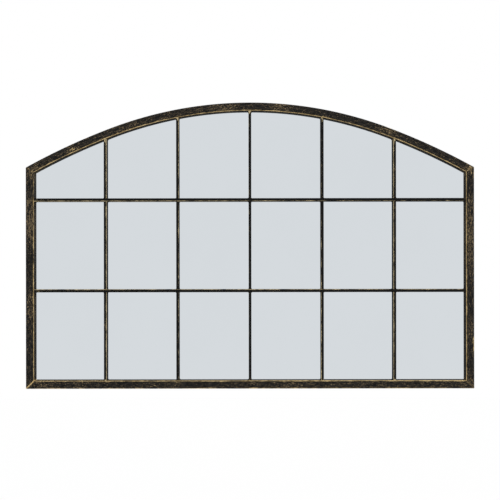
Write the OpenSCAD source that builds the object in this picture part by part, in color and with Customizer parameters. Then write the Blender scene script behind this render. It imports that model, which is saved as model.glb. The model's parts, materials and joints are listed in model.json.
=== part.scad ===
// Arched wall mirror in the style of a factory window: a welded steel frame of two rows of tube,
// flat glazing bars in front of one mirror sheet, and a backing board held by turn buttons.
// Seen from the front: X to the right, Z up, and +Y away from the viewer, into the wall.
// The origin is on the wall plane, midway between the two points that the mirror hangs from.

/* [Outline] */
// Width over the two stiles
overall_w = 1100; // [1000:5:1250]
// Height from the bottom edge to the crown of the arch
overall_h = 702; // [660:1:780]
// Outer radius of the middle stretch of the arch
crown_r = 965; // [900:5:1100]
// Outer radius of the two flatter stretches that run down to the stiles
haunch_r = 1590; // [1400:5:1900]
// How far past the middle the centre of each flatter stretch lies
haunch_shift = 220; // [180:2:260]

/* [Front tube] */
// Width of the frame's face
face_w = 20; // [18:0.5:26]
// Depth of the front tube
front_d = 15; // [12:0.5:20]
// Wall of the front tube
front_wall = 1.5; // [1.2:0.1:2]
// Flat taken off each long edge of the front tube
edge_cut = 0.8; // [0.4:0.1:1]

/* [Rear tube] */
// Width of the rear tube, which leaves the rebate for the glass inside it
rear_w = 10; // [9:0.5:11]
// Wall of the rear tube
rear_wall = 1.2; // [1:0.1:1.5]

/* [Glazing bars] */
// Number of equal columns of panes
columns = 6; // [5:1:8]
// Clear height of each of the two lower rows of panes
pane_h = 217.5; // [190:0.5:235]
// Width of a bar's face
bar_w = 6; // [4:0.5:8]
// How far the bars lie behind the face of the frame
bar_recess = 1; // [0.5:0.1:2]

/* [Mirror and backing] */
// Thickness of the mirror glass
glass_t = 4; // [3:0.5:6]
// Thickness of the glazing tape between the tube and the glass
tape_t = 1; // [0.5:0.1:2]
// Width of the glazing tape
tape_w = 7; // [5:0.5:7.5]
// Thickness of the foam sheet behind the glass
foam_t = 1; // [0.5:0.1:2]
// Thickness of the backing board
board_t = 4; // [3:0.5:6]
// Gap round the glass and the board, inside the rear tube
edge_gap = 1.5; // [0.8:0.1:2]
// Length of a setting block, which carries the glass and the board
block_l = 40; // [25:1:60]
// Distance of each setting block from the middle
block_x = 275; // [200:5:350]

/* [Turn buttons] */
// Length of a turn button
button_l = 30; // [24:1:40]
// Width of a turn button
button_w = 9; // [8:0.5:9]
// Thickness of a turn button
button_t = 1.5; // [1:0.1:2]
// Distance of the outer buttons of the bottom rail and the arch from the middle
button_x = 300; // [240:5:360]
// Height of the lower buttons on the stiles
button_low_z = 150; // [110:5:200]
// How far the upper buttons on the stiles lie below the outer corners
button_drop = 173; // [145:1:240]

/* [Screws] */
// Thread diameter of the screws
screw_d = 3.5; // [3:0.1:4]
// Length of a screw under its head
screw_l = 9; // [8:0.1:9.5]
// Diameter of a pan head
head_d = 7; // [6:0.1:8]
// Height of a pan head
head_h = 2.6; // [2:0.1:3]
// Width of the arms of the cross recess
recess_w = 1; // [0.8:0.1:1.2]
// Depth of the cross recess
recess_d = 1.2; // [0.8:0.1:1.5]
// Radial play of a turn button on its screw
button_play = 0.1; // [0.05:0.05:0.3]
// Radial gap between a screw and its hole in the frame
screw_gap = 0.05; // [0.02:0.01:0.1]

/* [Hangers] */
// How far a ring's pivot lies below the outer corner
hanger_drop = 57; // [45:1:90]
// Distance of the ring's middle from the outer edge of the frame
hanger_in = 24; // [22:0.5:40]
// Width of a hanger plate
plate_w = 38; // [36:1:60]
// Height of a hanger plate, up to the pivot
plate_h = 30; // [26:1:45]
// Thickness of a hanger plate
plate_t = 1.5; // [1.2:0.1:2]
// Setback of a hanger plate from the outer edge of the frame
plate_set = 1; // [0.5:0.1:2]
// Width of the rolled knuckle
knuckle_w = 12; // [10:0.5:14]
// Distance between the two screws of a hanger plate
hanger_screw_pitch = 18; // [14:1:22]
// Wire diameter of a ring
wire_d = 3; // [2.5:0.1:3.5]
// Clear width inside a ring
ring_w = 20; // [18:0.5:24]
// Clear length inside a ring, from the pivot to the bow
ring_l = 15; // [14:0.5:20]
// Bend radius at a ring's two corners
ring_bend_r = 3; // [2.5:0.1:4]
// Radial play of a ring in its knuckle
ring_play = 0.25; // [0.1:0.05:0.4]

/* [Wall bumpers] */
// Diameter of a rubber bumper
bumper_d = 9; // [8:0.5:9]
// Height of a rubber bumper, which sets the gap to the wall
bumper_h = 7; // [6.8:0.1:10]
// Height of the lower bumpers above the bottom edge
bumper_low_z = 40; // [30:1:80]
// How far the upper bumpers lie below the outer corners
bumper_drop = 29; // [25:1:31]

/* [Hidden] */
$fn = 64;
arch_fn = 720;
half_w = overall_w / 2;
cut_past = 1;
strip_gap = 0.5;

// The crown's centre is under the middle. Each haunch's centre lies on the line from it to the
// joint of the two arcs, so that the arcs meet with the same direction.
joint_sin = haunch_shift / (haunch_r - crown_r);
joint_cos = sqrt(1 - joint_sin * joint_sin);
crown_cz = overall_h - crown_r;
haunch_cz = crown_cz - (haunch_r - crown_r) * joint_cos;

// Height of the arch at a distance x from the middle, on the line that lies inset inside the edge
function arch_z(x, inset) =
    abs(x) < (crown_r - inset) * joint_sin
    ? crown_cz + sqrt(pow(crown_r - inset, 2) - x * x)
    : haunch_cz + sqrt(pow(haunch_r - inset, 2) - pow(abs(x) + haunch_shift, 2));

// Angle from upright of the arch's outward direction at a distance x from the middle
function arch_lean(x, inset) =
    abs(x) < (crown_r - inset) * joint_sin
    ? asin(x / (crown_r - inset))
    : sign(x) * asin((abs(x) + haunch_shift) / (haunch_r - inset));

corner_z = arch_z(half_w, 0);

// The outer corners' height to a whole millimetre, which the fittings on the stiles are placed from
stile_top = round(corner_z);
button_high_z = stile_top - button_drop;
pivot_z = stile_top - hanger_drop;
bumper_high_z = stile_top - bumper_drop;

// Depths, counted back from the face of the frame
tape_y = front_d;
glass_y = tape_y + tape_t;
foam_y = glass_y + glass_t;
board_y = foam_y + foam_t;
back_y = board_y + board_t;
rear_d = back_y - front_d;
wall_y = back_y + bumper_h;
glass_inset = rear_w + edge_gap;

// Glazing bars
bar_d = glass_y - bar_recess;
column_w = (overall_w - 2 * face_w - (columns - 1) * bar_w) / columns;
bar_pitch = column_w + bar_w;
bar_low_z = face_w + pane_h;
bar_high_z = bar_low_z + bar_w + pane_h;
function bar_x(i) = -half_w + face_w + i * bar_pitch - bar_w / 2;

// Turn buttons: place of the screw, and the direction of the tongue counted from upright
button_in = rear_w / 2;
stile_x = half_w - button_in;
bottom_buttons = [for (x = [-button_x, 0, button_x]) [x, button_in, 0]];
left_buttons = [for (z = [button_low_z, button_high_z]) [-stile_x, z, 90]];
right_buttons = [for (z = [button_low_z, button_high_z]) [stile_x, z, -90]];
arch_buttons = [for (x = [-button_x, 0, button_x])
    [x, arch_z(x, button_in), 180 + arch_lean(x, button_in)]];
bore_r = screw_d / 2 + button_play;
screw_hole_r = screw_d / 2 + screw_gap;

// Hangers: the knuckle stands clear of the frame, so that the ring can swing over its own plate
hanger_x = half_w - hanger_in;
wire_r = wire_d / 2;
knuckle_bore_r = wire_r + ring_play;
knuckle_r = knuckle_bore_r + plate_t;
knuckle_lift = 0.15;
pivot_y = back_y + knuckle_lift + knuckle_r;
ring_side_x = ring_w / 2 + wire_r;
bow_z = ring_l + wire_r - ring_side_x;
hanger_screws_z = [for (s = [-1, 1]) pivot_z - plate_h / 2 + s * hanger_screw_pitch / 2];
hang_z = pivot_z + ring_l;

numbers = [1, 2, 3];

// From the frame's own corner to the part's origin
module in_place() {
    translate([0, -wall_y, -hang_z]) children();
}

// Stands a flat outline up in the frame, with its front at depth y and its thickness t behind it
module sheet(y, t) {
    translate([0, y + t, 0]) rotate([90, 0, 0]) linear_extrude(t) children();
}

// The area under the arch and between the stiles, drawn in by inset all round
module under_arch(inset) {
    joint_x = (crown_r - inset) * joint_sin;
    side_w = half_w - inset - joint_x;
    intersection() {
        translate([0, crown_cz]) circle(r = crown_r - inset, $fn = arch_fn);
        translate([-joint_x, inset]) square([2 * joint_x, overall_h]);
    }
    intersection() {
        translate([-haunch_shift, haunch_cz]) circle(r = haunch_r - inset, $fn = arch_fn);
        translate([joint_x, inset]) square([side_w, overall_h]);
    }
    intersection() {
        translate([haunch_shift, haunch_cz]) circle(r = haunch_r - inset, $fn = arch_fn);
        translate([-joint_x - side_w, inset]) square([side_w, overall_h]);
    }
}

// Section of a tube: its first direction runs inwards from the outer edge, its second runs back
module tube_section(w, d, wall, cut) {
    difference() {
        polygon([
            [cut, 0], [w - cut, 0], [w, cut], [w, d - cut],
            [w - cut, d], [cut, d], [0, d - cut], [0, cut]
        ]);
        translate([wall, wall]) square([w - 2 * wall, d - 2 * wall]);
    }
}

// The bottom rail: the tube's section run along X, with its outer edge down, and mitred
module rail(w, y, d, wall, cut) {
    intersection() {
        translate([-half_w, y, 0]) rotate([90, 0, 90]) linear_extrude(overall_w)
            mirror([1, -1]) tube_section(w, d, wall, cut);
        sheet(y - cut_past, d + 2 * cut_past)
            polygon([[-half_w, 0], [half_w, 0], [half_w - w, w], [w - half_w, w]]);
    }
}

// The right stile: the section run along Z, with its outer edge to the right, and mitred
module stile(w, y, d, wall, cut) {
    inner_x = half_w - w;
    intersection() {
        translate([half_w, y, 0]) mirror([1, 0, 0]) linear_extrude(corner_z + cut_past)
            tube_section(w, d, wall, cut);
        sheet(y - cut_past, d + 2 * cut_past)
            polygon([[half_w, 0], [half_w, corner_z], [inner_x, arch_z(inner_x, w)], [inner_x, w]]);
    }
}

// The arch's section turned through a half circle about an axis along Y at [x, z]
module bent_tube(x, z, radius, w, y, d, wall, cut) {
    translate([x, y, z]) rotate([90, 0, 0]) rotate_extrude(angle = 180, $fn = arch_fn)
        translate([radius, 0]) mirror([1, 0]) mirror([0, 1]) tube_section(w, d, wall, cut);
}

// The arch: a crown and two haunches, cut on the line where their arcs meet, and mitred at its ends
module arch(w, y, d, wall, cut) {
    near_r = crown_r - 2 * face_w;
    far_r = crown_r + 2 * face_w;
    near = [near_r * joint_sin, crown_cz + near_r * joint_cos];
    far = [far_r * joint_sin, crown_cz + far_r * joint_cos];
    top_z = overall_h + 2 * face_w;
    corner = [half_w, corner_z];
    inner = [half_w - w, arch_z(half_w - w, w)];
    mitre_low = 2 * inner - corner;
    mitre_high = 2 * corner - inner;
    intersection() {
        bent_tube(0, crown_cz, crown_r, w, y, d, wall, cut);
        sheet(y - cut_past, d + 2 * cut_past) polygon([
            [-near[0], near[1]], near, far, [far[0], top_z], [-far[0], top_z], [-far[0], far[1]]
        ]);
    }
    for (side = [0, 1]) mirror([side, 0, 0]) intersection() {
        bent_tube(-haunch_shift, haunch_cz, haunch_r, w, y, d, wall, cut);
        sheet(y - cut_past, d + 2 * cut_past)
            polygon([near, mitre_low, mitre_high, [mitre_high[0], top_z], [far[0], top_z], far]);
    }
}

// A round bar along Y, such as a hole through the back wall of a rear tube
module along_y(r, y, t) {
    translate([0, y + t, 0]) rotate([90, 0, 0]) cylinder(r = r, h = t);
}

// Holes for screws in the back wall of the rear tube, at places [x, z]
module screw_holes(places) {
    for (p = places)
        translate([p[0], 0, p[1]])
            along_y(screw_hole_r, back_y - rear_wall - cut_past, rear_wall + 2 * cut_past);
}

module bottom_rail_front() {
    color("#26231f") in_place() rail(face_w, 0, front_d, front_wall, edge_cut);
}

module left_stile_front() {
    color("#26231f") in_place() mirror([1, 0, 0]) stile(face_w, 0, front_d, front_wall, edge_cut);
}

module right_stile_front() {
    color("#26231f") in_place() stile(face_w, 0, front_d, front_wall, edge_cut);
}

module arch_front() {
    color("#26231f") in_place() arch(face_w, 0, front_d, front_wall, edge_cut);
}

module bottom_rail_rear() {
    color("#1c1a17") in_place() difference() {
        rail(rear_w, front_d, rear_d, rear_wall, edge_cut / 2);
        screw_holes(bottom_buttons);
    }
}

// The rear stile on the right, with the holes of its turn buttons and of its hanger plate
module stile_rear() {
    hanger_holes = [for (z = hanger_screws_z) [stile_x, z]];
    difference() {
        stile(rear_w, front_d, rear_d, rear_wall, edge_cut / 2);
        screw_holes(right_buttons);
        screw_holes(hanger_holes);
    }
}

module left_stile_rear() {
    color("#1c1a17") in_place() mirror([1, 0, 0]) stile_rear();
}

module right_stile_rear() {
    color("#1c1a17") in_place() stile_rear();
}

module arch_rear() {
    color("#1c1a17") in_place() difference() {
        arch(rear_w, front_d, rear_d, rear_wall, edge_cut / 2);
        screw_holes(arch_buttons);
    }
}

// An upright bar, halved at the front where the two cross bars pass, and cut to the arch on top
module vertical_bar(i) {
    color("#2b2823") in_place() difference() {
        intersection() {
            translate([bar_x(i) - bar_w / 2, bar_recess, face_w]) cube([bar_w, bar_d, overall_h]);
            sheet(0, back_y) under_arch(face_w);
        }
        for (z = [bar_low_z, bar_high_z])
            translate([bar_x(i) - bar_w, bar_recess - cut_past, z])
                cube([2 * bar_w, bar_d / 2 + cut_past, bar_w]);
    }
}

// A cross bar from stile to stile, halved at the back where the upright bars pass
module cross_bar(z) {
    difference() {
        translate([face_w - half_w, bar_recess, z]) cube([overall_w - 2 * face_w, bar_d, bar_w]);
        for (i = [1:columns - 1])
            translate([bar_x(i) - bar_w / 2, bar_recess + bar_d / 2, z - cut_past])
                cube([bar_w, bar_d / 2 + cut_past, bar_w + 2 * cut_past]);
    }
}

module lower_bar() {
    color("#2b2823") in_place() cross_bar(bar_low_z);
}

module upper_bar() {
    color("#2b2823") in_place() cross_bar(bar_high_z);
}

// Four strips of double-sided tape, cut a little short of each other: three straight, one arched
module glazing_tape() {
    end_x = half_w - glass_inset;
    low_z = glass_inset + tape_w + strip_gap;
    arch_low_z = arch_z(end_x - tape_w, glass_inset + tape_w);
    color("#dcd9d0") in_place() sheet(tape_y, tape_t) {
        translate([-end_x, glass_inset]) square([2 * end_x, tape_w]);
        for (side = [0, 1]) mirror([side, 0])
            translate([end_x - tape_w, low_z]) square([tape_w, arch_low_z - strip_gap - low_z]);
        difference() {
            intersection() {
                under_arch(glass_inset);
                translate([-end_x, arch_low_z]) square([2 * end_x, overall_h]);
            }
            under_arch(glass_inset + tape_w);
        }
    }
}

module mirror_glass() {
    color("#d4d9dd") in_place() sheet(glass_y, glass_t) under_arch(glass_inset);
}

module foam_sheet() {
    color("#eeeeea") in_place() sheet(foam_y, foam_t) under_arch(glass_inset);
}

module backing_board() {
    color("#8a6a48") in_place() sheet(board_y, board_t) under_arch(glass_inset);
}

// Two blocks on the rear bottom tube, under the edges of the glass and the board
module setting_blocks() {
    color("#303030") in_place() for (x = [-block_x, block_x])
        translate([x - block_l / 2, glass_y, rear_w]) cube([block_l, back_y - glass_y, edge_gap]);
}

// A flat steel button with round ends, drilled for its screw
module turn_button(place) {
    end_r = button_w / 2;
    color("#a9a9a4") in_place() translate([place[0], 0, place[1]]) rotate([0, place[2], 0])
        sheet(back_y, button_t) difference() {
            union() {
                circle(r = end_r);
                translate([-end_r, 0]) square([button_w, button_l - button_w]);
                translate([0, button_l - button_w]) circle(r = end_r);
            }
            circle(r = bore_r);
        }
}

// A pan head screw that points forwards, with its head's seat at depth y
module screw(y) {
    along_y(screw_d / 2, y - screw_l, screw_l);
    difference() {
        intersection() {
            along_y(head_d / 2, y, head_h);
            translate([0, y + head_h - head_d, 0]) sphere(r = head_d, $fn = 96);
        }
        for (turn = [45, 135])
            rotate([0, turn, 0])
                translate([-head_d / 4, y + head_h - recess_d, -recess_w / 2])
                    cube([head_d / 2, recess_d + cut_past, recess_w]);
    }
}

module turn_button_screws() {
    color("#c2c1ba") in_place()
        for (p = concat(bottom_buttons, left_buttons, right_buttons, arch_buttons))
            translate([p[0], 0, p[1]]) screw(back_y + button_t);
}

// A steel plate on the rear stile, its upper tongue rolled into a knuckle for the ring
module hanger_plate() {
    plate_x = half_w - plate_set - plate_w;
    color("#b4b3ac") in_place() difference() {
        union() {
            translate([plate_x, back_y, pivot_z - plate_h])
                cube([plate_w, plate_t, plate_h - knuckle_r]);
            translate([hanger_x - knuckle_w / 2, back_y, pivot_z - knuckle_r])
                cube([knuckle_w, plate_t, knuckle_r]);
            translate([hanger_x - knuckle_w / 2, pivot_y, pivot_z])
                rotate([0, 90, 0]) cylinder(r = knuckle_r, h = knuckle_w);
        }
        translate([hanger_x - knuckle_w, pivot_y, pivot_z])
            rotate([0, 90, 0]) cylinder(r = knuckle_bore_r, h = 2 * knuckle_w);
        for (z = hanger_screws_z)
            translate([stile_x, 0, z])
                along_y(screw_hole_r, back_y - cut_past, plate_t + 2 * cut_past);
    }
}

module right_hanger_plate() {
    hanger_plate();
}

module left_hanger_plate() {
    mirror([1, 0, 0]) hanger_plate();
}

// A bent wire: r is the bend's radius, and it turns from one direction to another
module wire_bend(x, z, r, from, turn) {
    translate([x, 0, z]) rotate([90, 0, 0]) rotate([0, 0, from])
        rotate_extrude(angle = turn) translate([r, 0]) circle(r = wire_r);
}

// A ring that hangs down from its pivot: a straight bar, two sides and a round bow
module hanger_ring() {
    bar_l = 2 * (ring_side_x - ring_bend_r);
    color("#c9c8c2") in_place() translate([hanger_x, pivot_y, pivot_z]) {
        translate([-bar_l / 2, 0, 0]) rotate([0, 90, 0]) cylinder(r = wire_r, h = bar_l);
        wire_bend(ring_side_x - ring_bend_r, -ring_bend_r, ring_bend_r, 0, 90);
        wire_bend(ring_bend_r - ring_side_x, -ring_bend_r, ring_bend_r, 90, 90);
        for (x = [-ring_side_x, ring_side_x])
            translate([x, 0, -bow_z]) cylinder(r = wire_r, h = bow_z - ring_bend_r);
        wire_bend(0, -bow_z, ring_side_x, 180, 180);
    }
}

module right_hanger_ring() {
    hanger_ring();
}

module left_hanger_ring() {
    mirror([1, 0, 0]) hanger_ring();
}

module hanger_screws() {
    color("#c2c1ba") in_place() for (x = [-stile_x, stile_x], z = hanger_screws_z)
        translate([x, 0, z]) screw(back_y + plate_t);
}

module wall_bumpers() {
    color("#3a3a3c") in_place()
        for (x = [-stile_x, stile_x], z = [bumper_low_z, bumper_high_z])
            translate([x, 0, z]) along_y(bumper_d / 2, back_y, bumper_h);
}

bottom_rail_front();
left_stile_front();
right_stile_front();
arch_front();
bottom_rail_rear();
left_stile_rear();
right_stile_rear();
arch_rear();
for (i = [1:columns - 1])
    vertical_bar(i);
lower_bar();
upper_bar();
glazing_tape();
mirror_glass();
foam_sheet();
backing_board();
setting_blocks();
for (i = [1:3])
    turn_button(bottom_buttons[i - 1]);
for (i = [1:2])
    turn_button(left_buttons[i - 1]);
for (i = [1:2])
    turn_button(right_buttons[i - 1]);
for (i = [1:3])
    turn_button(arch_buttons[i - 1]);
turn_button_screws();
left_hanger_plate();
right_hanger_plate();
left_hanger_ring();
right_hanger_ring();
hanger_screws();
wall_bumpers();
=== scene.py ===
import json
import math

import bmesh
import bpy
from mathutils import Matrix, Vector


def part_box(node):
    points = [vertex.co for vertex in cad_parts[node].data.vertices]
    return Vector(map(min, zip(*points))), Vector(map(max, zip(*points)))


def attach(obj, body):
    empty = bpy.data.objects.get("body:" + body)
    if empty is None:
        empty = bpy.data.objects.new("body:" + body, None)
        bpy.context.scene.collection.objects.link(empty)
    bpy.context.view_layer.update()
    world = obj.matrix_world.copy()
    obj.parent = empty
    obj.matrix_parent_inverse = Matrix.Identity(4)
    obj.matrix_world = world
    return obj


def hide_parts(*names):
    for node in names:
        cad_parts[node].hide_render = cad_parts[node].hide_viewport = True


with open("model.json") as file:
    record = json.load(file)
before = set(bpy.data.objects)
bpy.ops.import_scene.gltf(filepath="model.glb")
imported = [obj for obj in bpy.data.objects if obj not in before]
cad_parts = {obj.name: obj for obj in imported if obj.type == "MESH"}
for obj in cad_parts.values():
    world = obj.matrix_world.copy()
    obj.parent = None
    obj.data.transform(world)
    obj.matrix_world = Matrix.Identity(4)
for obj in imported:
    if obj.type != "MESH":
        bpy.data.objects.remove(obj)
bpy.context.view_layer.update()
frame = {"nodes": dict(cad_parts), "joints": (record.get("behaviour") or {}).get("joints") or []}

# The front frame. Four lengths of 20 by 15 mm steel tube with rounded edges, the top one bent to
# the arch. They are mitred, welded and sprayed satin black. Gold is then dry brushed along the
# edges and over the joints, and brown strokes and flecks are left on the faces. The gold line on
# the inner edges, which face the middle, is partly a painted highlight of those edges.
rail_low, rail_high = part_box("bottom_rail_front")
half_w = rail_high.x
bottom_z = rail_low.z
face_w = rail_high.z - rail_low.z
front_y = rail_low.y
front_d = rail_high.y - rail_low.y
crown_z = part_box("arch_front")[1].z
corner_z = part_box("right_stile_front")[1].z
tube_round = 0.0013
sweep_step = 0.008
past_mitre = 0.03
seam_groove = 0.0004
seam_shrink = 0.95

# The arch has three arcs. The middle one turns about the crown's centre. The flatter ones turn about
# the haunches' centres, and each of these lies past the middle.
crown_r = 0.965
haunch_r = 1.59
haunch_shift = 0.22
joint_lean = math.asin(haunch_shift / (haunch_r - crown_r))
crown_centre = Vector((0, 0, crown_z - crown_r))
haunch_z = crown_centre.z - (haunch_r - crown_r) * math.cos(joint_lean)
right_haunch = Vector((-haunch_shift, 0, haunch_z))
left_haunch = Vector((haunch_shift, 0, haunch_z))


def arch_lean(x, inset):
    """How far the arch's outward direction leans from upright at x, on the line inset inside the edge."""
    reach = abs(x) / (crown_r - inset)
    if reach > math.sin(joint_lean):
        reach = (abs(x) + haunch_shift) / (haunch_r - inset)
    return math.copysign(math.asin(reach), x)


def arch_height(x, inset):
    """Height of the arch at x, on the line that lies inset inside its outer edge."""
    lean = abs(arch_lean(x, inset))
    if lean > joint_lean:
        return haunch_z + (haunch_r - inset) * math.cos(lean)
    return crown_centre.z + (crown_r - inset) * math.cos(lean)


def turned(centre, angle, axis="Y"):
    """The turn by angle about a line through centre."""
    to_centre = Matrix.Translation(centre)
    return to_centre @ Matrix.Rotation(angle, 4, axis) @ to_centre.inverted()


def verts_in(geometry):
    return [item for item in geometry if isinstance(item, bmesh.types.BMVert)]


def edges_in(geometry):
    return [item for item in geometry if isinstance(item, bmesh.types.BMEdge)]


def edges_among(verts):
    """The edges with both ends among these vertices."""
    among = set(verts)
    found = [edge for vert in verts for edge in vert.link_edges if among.issuperset(edge.verts)]
    return list(dict.fromkeys(found))


def faces_at(verts):
    """The faces that have any of these vertices."""
    return list(dict.fromkeys(face for vert in verts for face in vert.link_faces))


def tube_outline(width, depth, corner, start, outward, ahead, brush_from=0.0):
    """A new mesh with a tube's outline. It stands square to ahead, and start is its inner front edge.
    Brush_from is where its brush map starts, so that no two pieces have the same strokes."""
    bm = bmesh.new()
    quad = bmesh.ops.create_grid(bm, x_segments=1, y_segments=1, size=0.5)["verts"]
    size = Matrix.Diagonal((width, depth, 1, 1))
    bmesh.ops.transform(bm, matrix=Matrix.Translation((width / 2, depth / 2, 0)) @ size, verts=quad)
    bmesh.ops.bevel(bm, geom=quad, offset=corner, offset_type="OFFSET", segments=5, profile=0.5,
                    affect="VERTICES", material=-1)
    bmesh.ops.delete(bm, geom=bm.faces[:], context="FACES_ONLY")
    flats = [edge for edge in bm.edges if edge.calc_length() > corner]
    bmesh.ops.subdivide_edges(bm, edges=flats, cuts=4)
    around = bm.verts.layers.float.new("around")
    along = bm.verts.layers.float.new("along")
    for vert in bm.verts:
        side = 1 if vert.co.x > width / 2 else -1
        vert[around] = vert.co.x + side * vert.co.y
        vert[along] = brush_from
    turn = Matrix((outward, (0, 1, 0), ahead)).transposed().to_4x4()
    bmesh.ops.transform(bm, matrix=Matrix.Translation(start) @ turn, verts=bm.verts[:])
    return bm, bm.edges[:]


def draw_on(bm, edges, move, steps, length):
    """Draws the outline on in steps, each placed by move, and counts the length along the piece."""
    along = bm.verts.layers.float["along"]
    for _ in range(steps):
        new = verts_in(bmesh.ops.extrude_edge_only(bm, edges=edges)["geom"])
        bmesh.ops.transform(bm, matrix=move, verts=new)
        for vert in new:
            vert[along] += length / steps
        edges = edges_among(new)
    return edges


def draw_straight(bm, edges, run):
    """Draws the outline straight on by the vector run."""
    steps = max(1, round(run.length / sweep_step))
    return draw_on(bm, edges, Matrix.Translation(run / steps), steps, run.length)


def draw_round(bm, edges, centre, angle, radius):
    """Draws the outline on along an arc about centre. Radius is where the length is counted."""
    steps = max(1, round(abs(angle) * radius / sweep_step))
    return draw_on(bm, edges, turned(centre, angle / steps), steps, abs(angle) * radius)


def cut_off(bm, point, normal):
    """Cuts away what lies past the plane and returns the open rim."""
    everything = bm.verts[:] + bm.edges[:] + bm.faces[:]
    cut = bmesh.ops.bisect_plane(bm, geom=everything, plane_co=point, plane_no=normal, clear_outer=True)
    return edges_in(cut["geom_cut"])


def cut_mitre(bm, point, normal):
    """Cuts the tube at the seam. Its rim is eased, so that a fine groove shows where two tubes meet."""
    rim = cut_off(bm, point - normal * seam_groove, normal)
    end = verts_in(bmesh.ops.extrude_edge_only(bm, edges=rim)["geom"])
    middle = sum((vert.co for vert in end), Vector()) / len(end)
    shrink = Matrix.Translation(middle) @ Matrix.Scale(seam_shrink, 4) @ Matrix.Translation(-middle)
    bmesh.ops.transform(bm, matrix=Matrix.Translation(normal * seam_groove) @ shrink, verts=end)
    bmesh.ops.holes_fill(bm, edges=edges_among(end), sides=0)


def wear(bm, edge_gold_and_highlight, spots, seams=(), least_brown=0):
    """Writes where gold was rubbed and brown was brushed. Edge gold and highlight is how much gold the
    inner edge has where the piece starts and where it ends, partly a painted highlight, and how much
    the outer edge has. A spot is its place along X, its height over the bottom edge, its reach along X
    and up, its gold and its brown. A seam is a mitre and its gold. The brown away from all spots is
    least_brown."""
    inner_gold = bm.verts.layers.float.new("inner_gold")
    outer_gold = bm.verts.layers.float.new("outer_gold")
    gold = bm.verts.layers.float.new("gold")
    brown = bm.verts.layers.float.new("brown")
    seam_gold = bm.verts.layers.float.new("seam_gold")
    seam_gap = bm.verts.layers.float.new("seam_gap")
    along = bm.verts.layers.float["along"]
    starts = min(vert[along] for vert in bm.verts)
    ends = max(vert[along] for vert in bm.verts)
    first_gold_and_highlight, last_gold_and_highlight, outer = edge_gold_and_highlight
    for vert in bm.verts:
        share = (vert[along] - starts) / (ends - starts)
        vert[inner_gold] = first_gold_and_highlight + share * (last_gold_and_highlight - first_gold_and_highlight)
        vert[outer_gold] = outer
        vert[brown] = least_brown
        vert[seam_gap] = 1
        for x, up, reach_x, reach_up, gold_here, brown_here in spots:
            sideways = abs(vert.co.x - x) / reach_x
            if sideways > 3:
                continue
            upward = (vert.co.z - bottom_z - up) / reach_up
            share = math.exp(-sideways * sideways - upward * upward)
            vert[gold] = max(vert[gold], share * gold_here)
            vert[brown] = max(vert[brown], share * brown_here)
        for (corner, normal), gold_here in seams:
            off_corner = vert.co - corner
            gap = abs(off_corner.dot(normal))
            if gap < vert[seam_gap] and off_corner.length < 3 * face_w:
                vert[seam_gap] = gap
                vert[seam_gold] = gold_here


def lay_brush_map(bm):
    """A UV map in metres for the brush strokes: U along the piece, V round it."""
    brush = bm.loops.layers.uv.new("brush")
    along = bm.verts.layers.float["along"]
    around = bm.verts.layers.float["around"]
    for face in bm.faces:
        for loop in face.loops:
            loop[brush].uv = (loop.vert[along], loop.vert[around])


def finished_piece(name, bm, materials, nodes, body="frame", smooth_below=38):
    """Makes the mesh an object. It rides on its body and stands for the CAD nodes named."""
    mesh = bpy.data.meshes.new(name)
    bmesh.ops.recalc_face_normals(bm, faces=bm.faces[:])
    bm.to_mesh(mesh)
    bm.free()
    for material in materials:
        mesh.materials.append(material)
    mesh.shade_smooth()
    mesh.set_sharp_from_angle(angle=math.radians(smooth_below))
    piece = bpy.data.objects.new(name, mesh)
    bpy.context.scene.collection.objects.link(piece)
    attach(piece, body)
    if nodes:
        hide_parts(*nodes)


def shown(red, green, blue):
    """A colour as it shows on screen, from 0 to 255, made linear for a shader."""
    parts = [value / 255 for value in (red, green, blue)]
    return *[part / 12.92 if part < 0.04 else ((part + 0.055) / 1.055) ** 2.4 for part in parts], 1


def new_finish(name, **values):
    """A material and its Principled shader. A value is named after its socket."""
    material = bpy.data.materials.new(name)
    material.use_nodes = True
    shader = material.node_tree.nodes["Principled BSDF"]
    sockets = {socket.name.lower().replace(" ", "_"): socket for socket in shader.inputs}
    for socket, value in values.items():
        sockets[socket].default_value = value
    return material, material.node_tree, shader


def feed(tree, socket, value):
    """Links an output to the socket, or sets the socket to a plain value."""
    if isinstance(value, bpy.types.NodeSocket):
        tree.links.new(value, socket)
    elif value is not None:
        socket.default_value = value


def maths(tree, operation, *values):
    node = tree.nodes.new("ShaderNodeMath")
    node.operation = operation
    for socket, value in zip(node.inputs, values):
        feed(tree, socket, value)
    return node.outputs[0]


def weighed(tree, *pairs):
    """The sum of each value times its weight."""
    total = 0.0
    for value, weight in pairs:
        total = maths(tree, "MULTIPLY_ADD", value, weight, total)
    return total


def fade(tree, value, start, end, low=0.0, high=1.0):
    """Goes smoothly from low to high as value goes from start to end."""
    node = tree.nodes.new("ShaderNodeMapRange")
    node.interpolation_type = "SMOOTHSTEP"
    for socket, number in zip(node.inputs, (value, start, end, low, high)):
        feed(tree, socket, number)
    return node.outputs[0]


def cloud(tree, vector, size, detail=4.0, roughness=0.55, turn=(0, 0, 0)):
    """Noise from 0 to 1, most of it near 0.5. Size is one mark's size, on each axis if it has three.
    Turn is how the marks lie."""
    if isinstance(size, float):
        size = (size, size, size)
    place = tree.nodes.new("ShaderNodeMapping")
    place.vector_type = "TEXTURE"
    feed(tree, place.inputs["Vector"], vector)
    place.inputs["Rotation"].default_value = turn
    place.inputs["Scale"].default_value = size
    node = tree.nodes.new("ShaderNodeTexNoise")
    tree.links.new(place.outputs[0], node.inputs["Vector"])
    node.inputs["Scale"].default_value = 1
    node.inputs["Detail"].default_value = detail
    node.inputs["Roughness"].default_value = roughness
    return node.outputs["Fac"]


def blended(tree, amount, below, above):
    """The colour below with the colour above laid over it."""
    node = tree.nodes.new("ShaderNodeMix")
    node.data_type = "RGBA"
    feed(tree, node.inputs["Factor"], amount)
    feed(tree, node.inputs[6], below)
    feed(tree, node.inputs[7], above)
    return node.outputs[2]


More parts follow.
